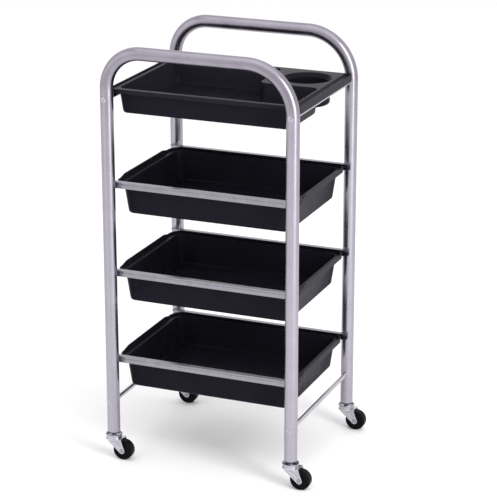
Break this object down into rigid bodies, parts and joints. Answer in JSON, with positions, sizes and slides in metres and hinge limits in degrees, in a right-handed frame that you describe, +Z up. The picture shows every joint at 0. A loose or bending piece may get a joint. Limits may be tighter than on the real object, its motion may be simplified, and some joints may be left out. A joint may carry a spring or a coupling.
{
  "type": "rolling salon trolley",
  "caption": "Rolling salon trolley with bent-tube side frames, a fixed top tray with a round cup recess, pull-out trays in channel rails and swivel casters.",
  "frame": {"origin": "on the floor under the middle of the whole trolley, with its casters trailing towards +X", "axes": "+Z up, the trays slide along X, the front frame is at -Y and the cup recess at +X +Y"},
  "size_m": [0.4275, 0.345, 0.825],
  "materials": {
    "frame_tube": "satin silver plating",
    "rail_steel": "bright zinc plating",
    "rod_chrome": "polished chrome plating",
    "screw_steel": "zinc plated screws",
    "tray_plastic": "black moulded plastic with a satin surface",
    "socket_plastic": "dark moulded plastic",
    "caster_steel": "plain steel",
    "caster_plating": "bright plated pressing",
    "wheel_plastic": "black moulded wheel"
  },
  "bodies": {
    "trolley": {"front_frame": "frame_tube", "back_frame": "frame_tube", "front_lower_rail": "rail_steel", "front_middle_rail": "rail_steel", "front_upper_rail": "rail_steel", "back_lower_rail": "rail_steel", "back_middle_rail": "rail_steel", "back_upper_rail": "rail_steel", "left_top_rod": "rod_chrome", "right_top_rod": "rod_chrome", "left_bottom_rod": "rod_chrome", "right_bottom_rod": "rod_chrome", "rod_screws": "screw_steel", "top_tray": "tray_plastic", "front_left_socket": "socket_plastic", "front_right_socket": "socket_plastic", "back_left_socket": "socket_plastic", "back_right_socket": "socket_plastic", "front_left_stem": "caster_steel", "front_right_stem": "caster_steel", "back_left_stem": "caster_steel", "back_right_stem": "caster_steel", "front_left_grip_ring": "caster_steel", "front_right_grip_ring": "caster_steel", "back_left_grip_ring": "caster_steel", "back_right_grip_ring": "caster_steel", "front_left_cup": "caster_plating", "front_right_cup": "caster_plating", "back_left_cup": "caster_plating", "back_right_cup": "caster_plating"},
    "upper_drawer": {"upper_tray": "tray_plastic"},
    "middle_drawer": {"middle_tray": "tray_plastic"},
    "lower_drawer": {"lower_tray": "tray_plastic"},
    "front_left_swivel": {"front_left_fork": "caster_plating", "front_left_axle": "caster_steel", "front_left_balls": "caster_steel"},
    "front_left_roller": {"front_left_wheel": "wheel_plastic"},
    "front_right_swivel": {"front_right_fork": "caster_plating", "front_right_axle": "caster_steel", "front_right_balls": "caster_steel"},
    "front_right_roller": {"front_right_wheel": "wheel_plastic"},
    "back_left_swivel": {"back_left_fork": "caster_plating", "back_left_axle": "caster_steel", "back_left_balls": "caster_steel"},
    "back_left_roller": {"back_left_wheel": "wheel_plastic"},
    "back_right_swivel": {"back_right_fork": "caster_plating", "back_right_axle": "caster_steel", "back_right_balls": "caster_steel"},
    "back_right_roller": {"back_right_wheel": "wheel_plastic"}
  },
  "joints": [
    {"name": "upper_tray_slide", "type": "slide", "parent": "trolley", "child": "upper_drawer", "axis": [1, 0, 0], "range_m": [-0.25, 0.25]},
    {"name": "middle_tray_slide", "type": "slide", "parent": "trolley", "child": "middle_drawer", "axis": [1, 0, 0], "range_m": [-0.25, 0.25]},
    {"name": "lower_tray_slide", "type": "slide", "parent": "trolley", "child": "lower_drawer", "axis": [1, 0, 0], "range_m": [-0.25, 0.25]},
    {"name": "front_left_caster_swivel", "type": "hinge", "parent": "trolley", "child": "front_left_swivel", "pos_m": [-0.19925, -0.156, 0.0412], "axis": [0, 0, 1], "continuous": true},
    {"name": "front_left_wheel_spin", "type": "hinge", "parent": "front_left_swivel", "child": "front_left_roller", "pos_m": [-0.17825, -0.156, 0.02], "axis": [0, 1, 0], "continuous": true},
    {"name": "front_right_caster_swivel", "type": "hinge", "parent": "trolley", "child": "front_right_swivel", "pos_m": [0.17075, -0.156, 0.0412], "axis": [0, 0, 1], "continuous": true},
    {"name": "front_right_wheel_spin", "type": "hinge", "parent": "front_right_swivel", "child": "front_right_roller", "pos_m": [0.19175, -0.156, 0.02], "axis": [0, 1, 0], "continuous": true},
    {"name": "back_left_caster_swivel", "type": "hinge", "parent": "trolley", "child": "back_left_swivel", "pos_m": [-0.19925, 0.156, 0.0412], "axis": [0, 0, 1], "continuous": true},
    {"name": "back_left_wheel_spin", "type": "hinge", "parent": "back_left_swivel", "child": "back_left_roller", "pos_m": [-0.17825, 0.156, 0.02], "axis": [0, 1, 0], "continuous": true},
    {"name": "back_right_caster_swivel", "type": "hinge", "parent": "trolley", "child": "back_right_swivel", "pos_m": [0.17075, 0.156, 0.0412], "axis": [0, 0, 1], "continuous": true},
    {"name": "back_right_wheel_spin", "type": "hinge", "parent": "back_right_swivel", "child": "back_right_roller", "pos_m": [0.19175, 0.156, 0.02], "axis": [0, 1, 0], "continuous": true}
  ]
}
